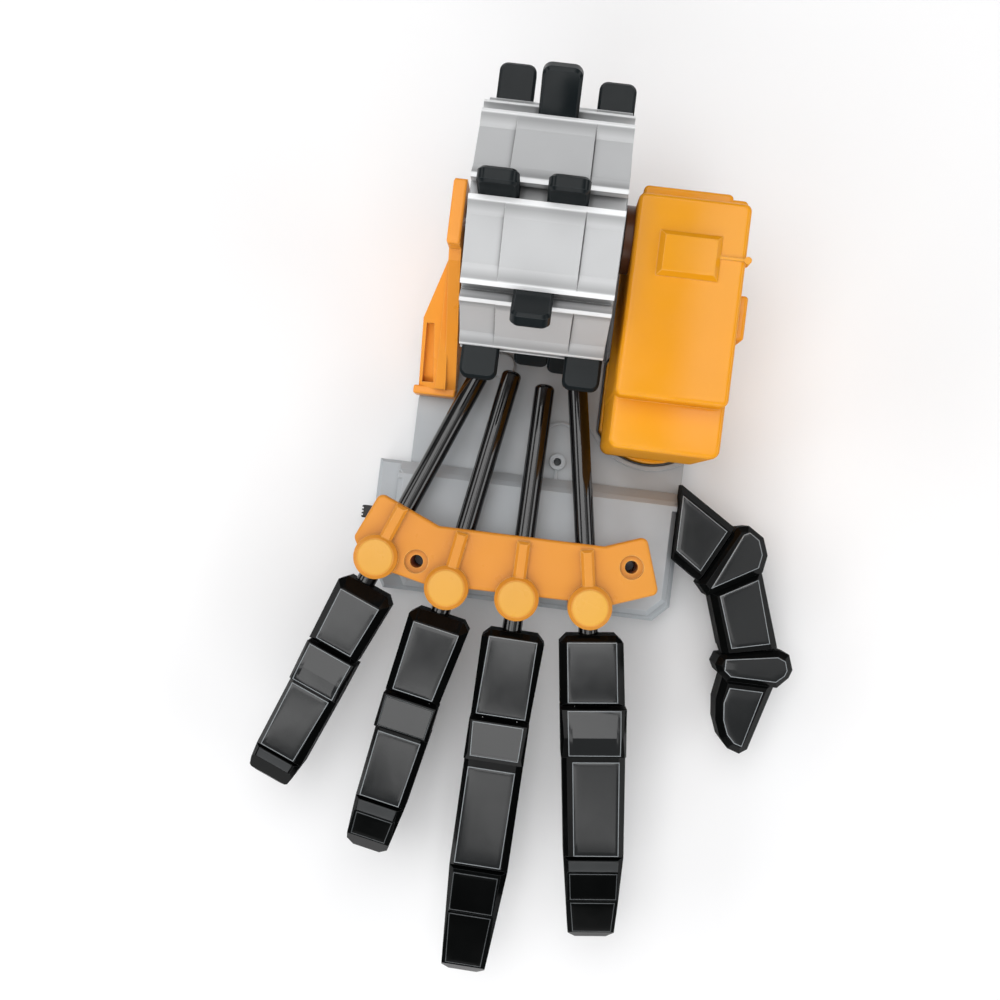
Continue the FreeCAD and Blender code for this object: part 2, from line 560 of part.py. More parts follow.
# ---------------------------------------------------------------- levers and fingers
def hinge(half_width, bottom, distance):
    """Tongue with its pressed pin, and the slot and running bore round them, at this distance along -Y."""
    pin_z = bottom + HINGE_SETBACK
    start = distance - HINGE_SETBACK
    tongue = x_rod(TONGUE_RADIUS, -TONGUE_HALF, TONGUE_HALF, -distance, pin_z)
    tongue = tongue.fuse(box(-TONGUE_HALF, TONGUE_HALF, -distance, -start + KNUCKLE_GAP + 2.5,
                             pin_z - TONGUE_RADIUS, pin_z + TONGUE_RADIUS))
    slot_half = TONGUE_HALF + 0.3
    slot = box(-slot_half, slot_half, -distance - 4.1, -start + 3, bottom - 1, pin_z + TONGUE_RADIUS + 0.5)
    length = half_width - 1.2
    pin = x_rod(HINGE_PIN_RADIUS, -length, length, -distance, pin_z)
    bore = x_rod(HINGE_PIN_RADIUS + RUNNING_GAP, -length - 0.3, length + 0.3, -distance, pin_z)
    return tongue.cut(pin), slot, pin, bore


def make_lever(name, finger):
    reach = (finger["rear_y"] - finger["y"]) / math.cos(math.radians(finger["rod"]))
    end = Vector(0, reach, ROD_END_Z)
    shaft = rod(ROD_RADIUS, Vector(0, 1.0, PIVOT_Z), end)
    tip = [edge for edge in shaft.Edges if edge.BoundBox.YMin > reach - 2]
    shaft = shaft.makeFillet(1.4, tip)
    hub = x_rod(HUB_RADIUS, -2.7, 2.7, 0, PIVOT_Z)
    lever = placed(shaft.fuse(hub), *finger_frame(finger, "rod"))
    neck = finger_neck(finger)
    bore = placed(x_rod(LEVER_PIN_RADIUS + RUNNING_GAP, -8, 8, 0, PIVOT_Z), *finger_frame(finger, "rod"))
    save(name, joined([lever, neck]).cut(bore))


def finger_neck(finger):
    """Round stem from the lever's hub into the rear end of its finger."""
    reach = finger["start"] + 4.5
    stem = rod(NECK_RADIUS, Vector(0, -1.5, PIVOT_Z), Vector(0, -reach, PIVOT_Z))
    return placed(stem, *finger_frame(finger, "yaw"))


def inset(outline, distances):
    """Move each side of a counterclockwise outline inwards by its own distance."""
    lines = []
    for (x0, y0), (x1, y1), distance in zip(outline, outline[1:] + outline[:1], distances):
        length = math.hypot(x1 - x0, y1 - y0)
        along = ((x1 - x0) / length, (y1 - y0) / length)
        lines.append((x0 - along[1] * distance, y0 + along[0] * distance, along))
    corners = []
    for (x0, y0, before), (x1, y1, after) in zip(lines[-1:] + lines[:-1], lines):
        cross = before[0] * after[1] - before[1] * after[0]
        reach = ((x1 - x0) * after[1] - (y1 - y0) * after[0]) / cross
        corners.append((x0 + before[0] * reach, y0 + before[1] * reach))
    return corners


def stacked(levels):
    """A solid through outlines with the same number of corners, one above another."""
    rings = [[Vector(x, y, z) for x, y in outline] for z, outline in levels]
    faces = [Part.Face(Part.makePolygon(ring + ring[:1])) for ring in (rings[0], rings[-1])]
    for lower, upper in zip(rings, rings[1:]):
        for index in range(len(lower)):
            after = (index + 1) % len(lower)
            corners = [lower[index], lower[after], upper[after], upper[index]]
            faces.append(Part.Face(Part.makePolygon(corners + corners[:1])))
    solid = Part.makeSolid(Part.makeShell(faces))
    if solid.Volume < 0:
        solid.reverse()
    return solid


def segment(outline, under, top):
    """A finger segment with sloping edges: under and top are the inset of each side."""
    return stacked([
        (FINGER_BOTTOM, inset(outline, under)),
        (FINGER_BOTTOM + FINGER_CHAMFER, outline),
        (FINGER_TOP - FINGER_CHAMFER, outline),
        (FINGER_TOP, inset(outline, top)),
    ])


def corner_inset(end, side, corner):
    """Inset of a 45 degree corner that keeps it a corner between these two insets."""
    return (end + side - corner) / math.sqrt(2) + 0.3


def rear_block(finger):
    (left, right), (front_left, front_right) = finger["sides"][:2]
    start, front, slope = -finger["start"], -finger["hinge"], finger["rear_slope"]
    corner = FINGER_CORNER
    outline = [(front_left, front), (front_right, front), (right, start - corner), (right - corner, start),
               (left + corner, start), (left, start - corner)]
    low = corner_inset(FINGER_CHAMFER, FINGER_CHAMFER, corner)
    high = corner_inset(slope, 1.9, corner)
    return segment(outline, [FINGER_CHAMFER, FINGER_CHAMFER, low, FINGER_CHAMFER, low, FINGER_CHAMFER],
                   [0.9, 1.9, high, slope, high, 1.9])


def knuckle_block(finger):
    rear_sides, front_sides = finger["sides"][2:4]
    rear, front = -finger["hinge"] - KNUCKLE_GAP, -finger["knuckle"]
    outline = [(front_sides[0], front), (front_sides[1], front), (rear_sides[1], rear), (rear_sides[0], rear)]
    crest = FINGER_TOP + 0.9
    block = stacked([
        (FINGER_BOTTOM, inset(outline, [0, FINGER_CHAMFER, FINGER_CHAMFER, FINGER_CHAMFER])),
        (FINGER_BOTTOM + FINGER_CHAMFER, outline),
        (crest - 1.6, outline),
        (crest, inset(outline, [0, 0.9, 0, 0.9])),
    ])
    fold = rear + (front - rear) * finger["fold"]
    top = FINGER_TOP + 0.1
    side = side_prism([(rear, 10), (rear, top), (fold, crest), (front, top), (front, 10)], -20, 20)
    return block.common(side)


def bar(finger):
    rear_sides, front_sides = finger["sides"][4:6]
    rear, front = 1.5 - finger["knuckle"], -finger["tip"]
    outline = [(front_sides[0], front), (front_sides[1], front), (rear_sides[1], rear), (rear_sides[0], rear)]
    return segment(outline, [0, FINGER_CHAMFER, 0, FINGER_CHAMFER], [0.7, 1.9, 0, 1.3])


def tip_block(finger):
    rear_sides, (left, right) = finger["sides"][5:]
    rear, end, corner = -finger["tip"], -finger["end"], FINGER_CORNER
    outline = [(left, end + corner), (left + corner, end), (right - corner, end), (right, end + corner),
               (rear_sides[1], rear), (rear_sides[0], rear)]
    low = corner_inset(FINGER_CHAMFER, FINGER_CHAMFER, corner)
    high = corner_inset(1.0, 1.2, corner)
    block = segment(outline, [low, FINGER_CHAMFER, low, FINGER_CHAMFER, 0, FINGER_CHAMFER],
                    [high, 1.0, high, 1.7, 0.5, 1.3])
    line = [(-distance, height) for distance, height in finger["tip_line"]]
    return block.common(side_prism([(rear, 10)] + line + [(end, 10)], -20, 20))


def make_finger(number, finger):
    prefix = "finger_%d" % number
    frame = finger_frame(finger, "yaw")
    left, right = finger["sides"][2]
    middle_x = (left + right) / 2
    parts = hinge((right - left) / 2, FINGER_BOTTOM, finger["hinge"] + KNUCKLE_GAP + HINGE_SETBACK)
    tongue, slot, pin, bore = [part.translated(Vector(middle_x, 0, 0)) for part in parts]

    rear = placed(joined([rear_block(finger), tongue]), *frame).cut(finger_neck(finger))
    save(prefix + "_rear", rear)
    middle = joined([knuckle_block(finger), bar(finger)]).cut(slot).cut(bore)
    save(prefix + "_middle", placed(middle, *frame))
    save(prefix + "_pin", placed(pin, *frame))
    save(prefix + "_tip", placed(tip_block(finger), *frame))


# ---------------------------------------------------------------- thumb
THUMB_ROOT = [(40.0, -54.9), (63.1, -69.5), (54.8, -85.3), (40.0, -75.4)]
THUMB_BLOCK = [(53.2, -85.0), (61.9, -68.2), (65.0, -67.4), (69.4, -70.2), (71.1, -74.9), (70.3, -79.7),
               (55.9, -88.0)]
THUMB_MIDDLE = [(56.6, -87.0), (70.0, -79.0), (77.85, -102.45), (62.85, -105.75)]
TIP_BLOCK = [(60.4, -106.5), (61.3, -103.9), (77.2, -100.4), (80.3, -101.3), (81.7, -105.4), (80.9, -107.7),
             (78.0, -110.8), (64.4, -110.7), (61.5, -108.7)]
THUMB_TIP = [(63.0, -109.5), (61.9, -116.2), (62.5, -121.8), (64.4, -126.7), (66.7, -129.2), (70.1, -130.3),
             (72.2, -128.8), (77.6, -109.5)]


THUMB_PIN = dict(x=59.9, y=-78.6, turn=46.0)
TIP_PIN = dict(x=69.9, y=-106.2, turn=12.0)
THUMB_BENDS = (0, 8, 16, 24, 32)
TIP_BENDS = (0, 9, 18, 27, 37)


def thumb_hinge(pin_place, half_width):
    """Knuckle parts for the thumb's pins, in a piece that points along the turned -Y direction."""
    shapes = hinge(half_width, THUMB_BOTTOM, 0)
    return [placed(shape, pin_place["x"], pin_place["y"], pin_place["turn"]) for shape in shapes]


def swing_room(outline, slot, pin_place, bends):
    """All the space that a block passes through as it bends, less the slot that holds the tongue."""
    block = prism(grown(outline, KNUCKLE_GAP), THUMB_BOTTOM - 1, THUMB_TOP + 1.5).cut(slot)
    lean = math.radians(pin_place["turn"])
    pin_point = Vector(pin_place["x"], pin_place["y"], THUMB_BOTTOM + HINGE_SETBACK)
    pin_line = Vector(math.cos(lean), math.sin(lean), 0)
    room = []
    for bend in bends:
        copy = block.copy()
        copy.rotate(pin_point, pin_line, bend)
        room.append(copy)
    return room


def make_thumb():
    tongue, slot, pin, bore = thumb_hinge(THUMB_PIN, 8.2)
    tip_tongue, tip_slot, tip_pin, tip_bore = thumb_hinge(TIP_PIN, 8.2)
    root = slab(THUMB_ROOT, THUMB_BOTTOM, THUMB_TOP, 1.8)
    tenon = box(41.0, 48.5, -76.5, -66.5, 9.0, 13.0)
    base_side = box(30, 47.3, -95, -50, 0, 10.3).fuse(box(30, 45.5, -95, -50, 10.2, 30))
    root = joined([root.cut(base_side), tenon, tongue.cut(base_side)])
    for room in swing_room(THUMB_BLOCK, slot, THUMB_PIN, THUMB_BENDS):
        root = root.cut(room)
    save("thumb_root", root.cut(pin))
    save("thumb_pin", pin)

    block = slab(THUMB_BLOCK, THUMB_BOTTOM - 0.6, THUMB_TOP + 0.8, 1.6)
    bar = slab(THUMB_MIDDLE, THUMB_BOTTOM, THUMB_TOP, 1.8)
    middle = joined([joined([block, bar]).cut(slot).cut(bore), tip_tongue])
    for room in swing_room(TIP_BLOCK, tip_slot, TIP_PIN, TIP_BENDS):
        middle = middle.cut(room)
    save("thumb_middle", middle)
    save("thumb_tip_pin", tip_pin)

    cap = slab(TIP_BLOCK, THUMB_BOTTOM - 0.6, THUMB_TOP + 0.8, 1.6)
    end = slab(THUMB_TIP, THUMB_BOTTOM, THUMB_TOP, 1.8)
    save("thumb_tip", joined([cap, end]).cut(tip_slot).cut(tip_bore))


def grown(points, margin):
    """Move every corner of an outline away from its middle."""
    cx = sum(x for x, y in points) / len(points)
    cy = sum(y for x, y in points) / len(points)
    result = []
    for x, y in points:
        away = math.hypot(x - cx, y - cy)
        scale = 1 + margin * 1.25 / away
        result.append((cx + (x - cx) * scale, cy + (y - cy) * scale))
    return result


def main():
    os.makedirs("parts", exist_ok=True)
    make_drum()
    centres = make_gears()
    make_housing(centres)
    bracket_screws = make_bracket()
    make_base(bracket_screws)
    make_bridge()
    for number, finger in enumerate(FINGERS, 1):
        make_lever("lever_%d" % number, finger)
        make_finger(number, finger)
    make_thumb()


main()
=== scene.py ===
"""Looks of the robot hand kit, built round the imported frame.

It holds the materials of all CAD nodes, the thin plates on fingers and thumb, the pale faces of the bridge's
discs, and the floor, light and camera.
"""
import math

import bmesh
import bpy
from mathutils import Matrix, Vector


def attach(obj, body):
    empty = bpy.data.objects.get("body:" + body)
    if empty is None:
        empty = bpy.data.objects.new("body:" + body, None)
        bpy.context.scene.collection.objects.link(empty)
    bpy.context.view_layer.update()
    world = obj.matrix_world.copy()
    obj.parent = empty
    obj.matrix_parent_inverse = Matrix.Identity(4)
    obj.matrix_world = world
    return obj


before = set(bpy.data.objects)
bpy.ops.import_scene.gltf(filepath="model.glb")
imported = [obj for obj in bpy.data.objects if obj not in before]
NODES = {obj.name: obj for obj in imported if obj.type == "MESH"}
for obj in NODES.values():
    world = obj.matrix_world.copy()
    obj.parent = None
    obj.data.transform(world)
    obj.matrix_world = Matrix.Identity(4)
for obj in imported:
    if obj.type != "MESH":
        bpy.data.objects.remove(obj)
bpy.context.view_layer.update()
MM = 0.001

# Radii round the drum's axis: the hollow before each lip, with painted shade, and the lip's crest, with a
# painted highlight.
DRUM_AXIS_Z = 50 * MM
HOLLOW = (29.7 * MM, 30.75 * MM)
CREST = (31.08 * MM, 31.32 * MM)
# How much of each, painted shade and painted highlight, shows at most, and how dark the shade is as a share
# of the colour.
HOLLOW_SHARE, HOLLOW_TONE = 0.62, 0.45
CREST_SHARE = 0.75
# Painted shade in corners, and the wider and softer painted shade in the drum's folds.
CREVICE_REACH, CREVICE_TONE = 2.2 * MM, 0.25
FOLD_REACH, FOLD_TONE = 1.6 * MM, 0.4
FOLD_OPENNESS, FOLD_SAMPLES = (0.72, 0.975), 12
# A face counts as flat when its bevelled and true normals agree this well.
FLAT_DOT = 0.985
# Upward part of the normal where a face stops being a wall, and where it is a top.
WALL_TILT = (0.1, 0.45)
# Walls are duller: this is added to their roughness, and their specular level is this.
WALL_ROUGHNESS, WALL_SPECULAR = 0.45, 0.04
COAT_ROUGHNESS = 0.05


# ---------------------------------------------------------------- materials
def linear(red, green, blue):
    """Linear colour from 0 to 255 display values."""
    def channel(value):
        value /= 255.0
        return value / 12.92 if value <= 0.04045 else ((value + 0.055) / 1.055) ** 2.4
    return (channel(red), channel(green), channel(blue), 1.0)


def scaled(colour, factor):
    """The colour made lighter or darker."""
    return tuple(min(1.0, channel * factor) for channel in colour[:3]) + (1.0,)


class Tree:
    """A material's node tree, with short calls to add and join nodes.

    A value that goes into a node is a socket, which is linked, or a plain number or colour, which is set.
    """

    def __init__(self, name):
        self.material = bpy.data.materials.new(name)
        self.material.use_nodes = True
        self.nodes = self.material.node_tree.nodes
        self.links = self.material.node_tree.links
        self.shader = self.nodes["Principled BSDF"]
        self.place = self.add("ShaderNodeTexCoord").outputs["Object"]

    def add(self, kind, **settings):
        node = self.nodes.new(kind)
        for key, value in settings.items():
            setattr(node, key, value)
        return node

    def put(self, socket, value):
        if hasattr(value, "is_output"):
            self.links.new(value, socket)
        else:
            socket.default_value = value

    def feed(self, node, **inputs):
        for key, value in inputs.items():
            self.put(node.inputs[key.replace("_", " ")], value)
        return node

    def maths(self, operation, *values):
        node = self.add("ShaderNodeMath", operation=operation)
        for socket, value in zip(node.inputs, values):
            self.put(socket, value)
        return node.outputs["Value"]

    def vector_maths(self, operation, *values, result="Vector"):
        node = self.add("ShaderNodeVectorMath", operation=operation)
        for socket, value in zip(node.inputs, values):
            self.put(socket, value)
        return node.outputs[result]

    def noise(self, scale, detail=2.0, stretch=None):
        """Noise in the object's own space, stretched along its axes where the marks run one way."""
        source = self.place
        if stretch:
            mapping = self.feed(self.add("ShaderNodeMapping"), Vector=source, Scale=stretch)
            source = mapping.outputs["Vector"]
        node = self.feed(self.add("ShaderNodeTexNoise"), Vector=source, Scale=scale, Detail=detail)
        return node.outputs["Fac"]

    def span(self, value, low, high, start=0.0, end=1.0):
        """Map start to end onto low to high."""
        node = self.add("ShaderNodeMapRange")
        self.feed(node, Value=value, From_Min=start, From_Max=end, To_Min=low, To_Max=high)
        return node.outputs["Result"]

    def mix(self, factor, first, second):
        """Mix two colours. The sockets of this node share names, so they are found by place."""
        node = self.add("ShaderNodeMix", data_type="RGBA")
        for index, value in ((0, factor), (6, first), (7, second)):
            self.put(node.inputs[index], value)
        return node.outputs[2]

    def edge_mask(self, radius, softness):
        """1 on sharp edges and 0 on flat faces, with the rounded normal that it comes from."""
        bevel = self.add("ShaderNodeBevel", samples=6)
        bevel.inputs["Radius"].default_value = radius
        rounded = bevel.outputs["Normal"]
        flat = self.add("ShaderNodeNewGeometry").outputs["Normal"]
        dot = self.vector_maths("DOT_PRODUCT", rounded, flat, result="Value")
        return self.span(dot, 1.0, 0.0, 1.0 - softness, FLAT_DOT), rounded

    def wall_mask(self):
        """1 on upright faces and 0 on faces that look up or down."""
        split = self.add("ShaderNodeSeparateXYZ")
        self.links.new(self.add("ShaderNodeNewGeometry").outputs["True Normal"], split.inputs[0])
        return self.span(self.maths("ABSOLUTE", split.outputs["Z"]), 1.0, 0.0, *WALL_TILT)

    def crevice_mask(self, distance, deep=0.25, shallow=0.85, samples=6):
        """1 deep in corners and grooves and 0 in the open."""
        shade = self.add("ShaderNodeAmbientOcclusion", samples=samples)
        shade.inputs["Distance"].default_value = distance
        return self.span(shade.outputs["AO"], 1.0, 0.0, deep, shallow)

    def drum_radius(self):
        """Distance from the drum's axis."""
        centred = self.vector_maths("SUBTRACT", self.place, (0.0, 0.0, DRUM_AXIS_Z))
        flat = self.vector_maths("MULTIPLY", centred, (0.0, 1.0, 1.0))
        return self.vector_maths("LENGTH", flat, result="Value")


def plastic(name, colour, rough, edge, edge_radius=0.25, grain=0.06, grain_scale=2600, mottle=0.035,
            coat=0.0, specular=0.5, edge_share=0.6, tone=None, crevice=0.0, matte_walls=False,
            gloss_spread=0.055, fold_shade=0.0, lips=False):
    """Moulded plastic: slight mottle, fine skin grain, painted edge highlights and corner shade, and uneven
    gloss.

    edge is the colour of the painted edge highlights, edge_radius their width in mm and edge_share how much
    of them shows. tone is a second colour in wide patches. crevice and fold_shade are strengths of painted
    shade, and lips adds the painted shade in the hollows before the drum's lips and the painted highlight on
    their crests.
    """
    tree = Tree(name)
    base = tree.mix(tree.span(tree.noise(70, 3.0), 0, 1, 0.3, 0.7), scaled(colour, 1 - mottle * 2),
                    scaled(colour, 1 + mottle))
    if tone:
        base = tree.mix(tree.span(tree.noise(22, 1.0), 0, 1, 0.35, 0.65), base, tone)
    # Painted shade: the colour is darkened in corners and grooves, where shade falls.
    if crevice:
        painted_shade = tree.crevice_mask(CREVICE_REACH)
        base = tree.mix(tree.span(painted_shade, 0.0, crevice), base, scaled(colour, CREVICE_TONE))
    if fold_shade:
        shade = tree.crevice_mask(FOLD_REACH, *FOLD_OPENNESS, FOLD_SAMPLES)
        base = tree.mix(tree.span(shade, 0.0, fold_shade), base, scaled(colour, FOLD_TONE))
    # Painted shade in the hollow before each lip, and a painted highlight on the lip's crest.
    if lips:
        radius = tree.drum_radius()
        base = tree.mix(tree.span(radius, 0.0, HOLLOW_SHARE, *HOLLOW), base, scaled(colour, HOLLOW_TONE))
        base = tree.mix(tree.span(radius, 0.0, CREST_SHARE, *CREST), base, edge)
    # Sharp edges are painted lighter in patches, as a painted edge highlight.
    mask, rounded = tree.edge_mask(edge_radius * MM, 0.25)
    patches = tree.span(tree.noise(420, 3.0), edge_share * 0.5, edge_share, 0.35, 0.6)
    painted_edge_highlight = tree.maths("MULTIPLY", mask, patches)
    tree.links.new(tree.mix(painted_edge_highlight, base, edge), tree.shader.inputs["Base Color"])
    gloss = tree.span(tree.noise(160, 4.0), max(0.03, rough - gloss_spread), rough + gloss_spread, 0.3, 0.7)
    bump = tree.add("ShaderNodeBump")
    tree.feed(bump, Strength=grain, Distance=0.0001, Height=tree.noise(grain_scale, 2.0), Normal=rounded)
    tree.links.new(bump.outputs["Normal"], tree.shader.inputs["Normal"])
    tree.shader.inputs["Specular IOR Level"].default_value = specular
    if matte_walls:
        wall = tree.wall_mask()
        gloss = tree.maths("MULTIPLY_ADD", wall, WALL_ROUGHNESS, gloss)
        tree.links.new(tree.span(wall, specular, WALL_SPECULAR), tree.shader.inputs["Specular IOR Level"])
    tree.links.new(gloss, tree.shader.inputs["Roughness"])
    if coat:
        tree.shader.inputs["Coat Weight"].default_value = coat
        tree.shader.inputs["Coat Roughness"].default_value = COAT_ROUGHNESS
    return tree.material


def metal(name, colour, rough, stretch=(1.0, 1.0, 1.0)):
    """Turned or plated metal with fine lines along one direction."""
    tree = Tree(name)
    marks = tree.noise(900, 3.0, stretch=stretch)
    base = tree.mix(tree.span(marks, 0, 1, 0.3, 0.7), scaled(colour, 0.75), colour)
    tree.links.new(base, tree.shader.inputs["Base Color"])
    gloss = tree.span(tree.noise(300, 3.0), rough - 0.06, rough + 0.1, 0.3, 0.7)
    tree.links.new(gloss, tree.shader.inputs["Roughness"])
    _, rounded = tree.edge_mask(0.12 * MM, 0.3)
    bump = tree.add("ShaderNodeBump")
    tree.feed(bump, Strength=0.12, Distance=0.00005, Height=marks, Normal=rounded)
    tree.links.new(bump.outputs["Normal"], tree.shader.inputs["Normal"])
    tree.shader.inputs["Metallic"].default_value = 1.0
    return tree.material


# Plastics: colour, roughness, edge colour, edge radius in mm, grain strength, grain scale and mottle.
MATERIALS = {
    "drum": plastic("drum plastic", linear(188, 189, 190), 0.34, linear(252, 253, 254), 0.22, 0.04, 2200,
                    0.015, edge_share=0.75, crevice=0.85, fold_shade=0.6, lips=True),
    "base": plastic("base plastic", linear(173, 178, 182), 0.36, linear(228, 232, 235), 0.3, 0.05, 2400,
                    0.03, edge_share=0.9, crevice=0.5),
    "housing": plastic("housing plastic", linear(229, 150, 16), 0.10, linear(255, 210, 120), 0.4, 0.02, 2600,
                       0.015, specular=0.3, edge_share=0.9, tone=linear(229, 155, 26), gloss_spread=0.02,
                       matte_walls=True),
    "bracket": plastic("bracket plastic", linear(238, 152, 50), 0.32, linear(254, 204, 120), 0.3, 0.04, 2600,
                       0.02, specular=0.24, tone=linear(240, 158, 60), crevice=0.3),
    "bridge": plastic("bridge plastic", linear(215, 139, 44), 0.32, linear(255, 208, 128), 0.4, 0.05, 2400,
                      0.02, specular=0.26, edge_share=1.0, tone=linear(216, 143, 50), crevice=0.45),
    "disc": plastic("disc face", linear(218, 158, 60), 0.30, linear(250, 212, 130), 0.2, 0.05, 2400, 0.02,
                    specular=0.3, tone=linear(222, 166, 66)),
    # The bush is a dark part; its orange-brown holds a painted orange reflection of the housing and painted
    # shade from the drum beside it.
    "bush": plastic("bush plastic", linear(92, 52, 24), 0.34, linear(150, 96, 50), 0.2, 0.05, 2400, 0.04,
                    specular=0.3),
    "black": plastic("finger plastic", linear(9, 10, 10), 0.16, linear(110, 114, 115), 0.12, 0.02, 3000,
                     0.15, specular=0.12, edge_share=0.35, matte_walls=True),
    "tip": plastic("finger end plastic", linear(7, 8, 8), 0.16, linear(110, 114, 116), 0.14, 0.02, 3000,
                   0.15, specular=0.045, edge_share=0.6, matte_walls=True),
    "panel": plastic("panel plastic", linear(21, 23, 24), 0.12, linear(150, 154, 155), 0.1, 0.02, 3200, 0.06,
                     edge_share=0.5, gloss_spread=0.02),
    # The rims' light colours are painted edge highlights.
    "rim": plastic("panel rim", linear(134, 139, 142), 0.3, linear(160, 164, 166), 0.08, 0.03, 3200, 0.05),
    "rim dark": plastic("finger end rim", linear(62, 66, 68), 0.3, linear(84, 88, 90), 0.08, 0.03, 3200,
                        0.05),
    "band": plastic("finger band", linear(50, 52, 53), 0.36, linear(140, 144, 146), 0.1, 0.04, 3200, 0.06,
                    specular=0.3),
    "rod": plastic("rod plastic", linear(9, 9, 10), 0.10, linear(90, 92, 94), 0.12, 0.02, 2800, 0.1,
                   coat=0.3),
    "tab": plastic("tab plastic", linear(22, 27, 29), 0.20, linear(120, 128, 132), 0.22, 0.04, 2600, 0.08,
                   specular=0.14, edge_share=0.4, matte_walls=True),
    "switch": plastic("switch plastic", linear(22, 22, 23), 0.5, linear(70, 70, 72), 0.12, 0.12, 2600, 0.08),
    "gear": plastic("nylon", linear(232, 231, 222), 0.45, linear(250, 250, 246), 0.06, 0.05, 2400, 0.03),
    "wrap": plastic("cell sleeve", linear(70, 84, 96), 0.3, linear(150, 160, 168), 0.2, 0.05, 1800, 0.06),
    "pin": metal("ground steel", (0.62, 0.62, 0.63, 1.0), 0.24, (1.0, 18.0, 18.0)),
    "screw": metal("blackened steel", (0.06, 0.06, 0.065, 1.0), 0.38),
    "can": metal("plated can", (0.58, 0.59, 0.60, 1.0), 0.3, (14.0, 1.0, 1.0)),
    "brass": metal("brass", (0.78, 0.58, 0.27, 1.0), 0.26),
    "contact": metal("nickel", (0.66, 0.65, 0.62, 1.0), 0.28, (1.0, 6.0, 6.0)),
}

NODE_MATERIALS = {
    "base": ["base_shell", "base_cover", "battery_door"],
    "drum": ["drum_shell", "drum_cap_left", "drum_cap_right"],
    "housing": ["housing_lower", "housing_upper", "housing_clip", "turret"],
    "bush": ["axle_bush"],
    "bracket": ["left_bracket"],
    "bridge": ["knuckle_bridge"],
    "tab": ["cam_tabs"],
    "switch": ["switch_body", "switch_knob"],
    "gear": ["drum_gear", "gear_near_drum", "gear_near_motor"],
    "wrap": ["batteries"],
    "pin": ["gear_pins", "lever_pins", "thumb_pin", "thumb_tip_pin", "drum_axle", "motor_shaft"],
    "screw": ["cover_screws", "bracket_screws", "housing_screws", "bridge_screws"],
    "can": ["motor"],
    "brass": ["motor_pinion"],
    "contact": ["battery_contacts"],
    "black": ["thumb_root", "thumb_middle", "thumb_tip"],
    "tip": [],
    "rod": [],
}
for finger_number in range(1, 5):
    NODE_MATERIALS["rod"].append("lever_%d" % finger_number)
    NODE_MATERIALS["pin"].append("finger_%d_pin" % finger_number)
    NODE_MATERIALS["black"].append("finger_%d_rear" % finger_number)
    NODE_MATERIALS["black"].append("finger_%d_middle" % finger_number)
    NODE_MATERIALS["tip"].append("finger_%d_tip" % finger_number)


def paint(obj, *keys):
    """Give an object materials, by slot."""
    if obj.data.materials:
        obj.data.materials.clear()
    for key in keys:
        obj.data.materials.append(MATERIALS[key])


for material_key, node_names in NODE_MATERIALS.items():
    for node_name in node_names:
        paint(NODES[node_name], material_key)


# ---------------------------------------------------------------- mesh helpers
def mesh_object(name, mesh):
    """Turn a bmesh into an object in the scene."""
    data = bpy.data.meshes.new(name)
    mesh.to_mesh(data)
    mesh.free()
    obj = bpy.data.objects.new(name, data)
    bpy.context.scene.collection.objects.link(obj)
    return obj


def strip(mesh, lower, upper, material=0):
    """Smooth faces between two loops of the same length."""
    for index in range(len(lower)):
        after = (index + 1) % len(lower)
        face = mesh.faces.new((lower[index], lower[after], upper[after], upper[index]))
        face.smooth = True
        face.material_index = material


def fan(mesh, loop, centre):
    """Smooth faces from a loop to its centre."""
    for index in range(len(loop)):
        mesh.faces.new((loop[index], loop[(index + 1) % len(loop)], centre)).smooth = True


def sides(outline):
    """The sides of a closed outline, as pairs of corners."""
    return zip(outline, outline[1:] + outline[:1])


def counterclockwise(outline):
    area = sum(x0 * y1 - x1 * y0 for (x0, y0), (x1, y1) in sides(outline))
    return list(outline) if area > 0 else list(reversed(outline))


def divided(outline, parts):
    """Cut every side into equal parts."""
    points = []
    for (x0, y0), (x1, y1) in sides(outline):
        points.extend((x0 + (x1 - x0) * step / parts, y0 + (y1 - y0) * step / parts)
                      for step in range(parts))
    return points


def inset(outline, distance):
    """Move every side of a counterclockwise outline inwards by the same distance."""
    lines = []
    for (x0, y0), (x1, y1) in sides(outline):
        length = math.hypot(x1 - x0, y1 - y0)
        along = ((x1 - x0) / length, (y1 - y0) / length)
        lines.append((x0 - along[1] * distance, y0 + along[0] * distance, along))
    corners = []
    for (x0, y0, before), (x1, y1, after) in zip(lines[-1:] + lines[:-1], lines):
        cross = before[0] * after[1] - before[1] * after[0]
        if abs(cross) < 1e-9:
            # The two sides are in one line, so the corner between them stays on it.
            corners.append((x1, y1))
            continue
        reach = ((x1 - x0) * after[1] - (y1 - y0) * after[0]) / cross
        corners.append((x0 + before[0] * reach, y0 + before[1] * reach))
    return corners


def with_fold(outline, fold):
    """Add the two points where the sides of a four-cornered outline cross a fold line."""
    points = []
    for (x0, y0), (x1, y1) in sides(outline):
        points.append((x0, y0))
        if (y0 - fold) * (y1 - fold) < 0:
            share = (fold - y0) / (y1 - y0)
            points.append((x0 + (x1 - x0) * share, fold))
    return points


def height_on(line, distance):
    """Height of the surface under a panel, from a line of (distance, height) points."""
    if distance <= line[0][0]:
        return line[0][1]
    for (d0, z0), (d1, z1) in zip(line, line[1:]):
        if distance <= d1:
            return z0 + (z1 - z0) * (distance - d0) / (d1 - d0)
    return line[-1][1]


# ---------------------------------------------------------------- finger and thumb panels
# A panel in mm: how far it reaches into the finger and stands out, and how much its middle is raised.
PANEL_ROOT = -0.5
PROUD, END_PROUD = 0.3, 0.22
CROWN = 0.03
# Its rim: the top of its upright side and the rim's crest, below the panel's top, and the rim's two insets.
SIDE_DROP, RIM_DROP = 0.14, 0.03
RIM_OUTER, RIM_INNER = 0.06, 0.23
RIM_STRIPS = (1, 2)
# The crown starts this far inside, or at this share of a narrow panel's shortest side.
BORDER, BORDER_SHARE = 1.2, 0.3


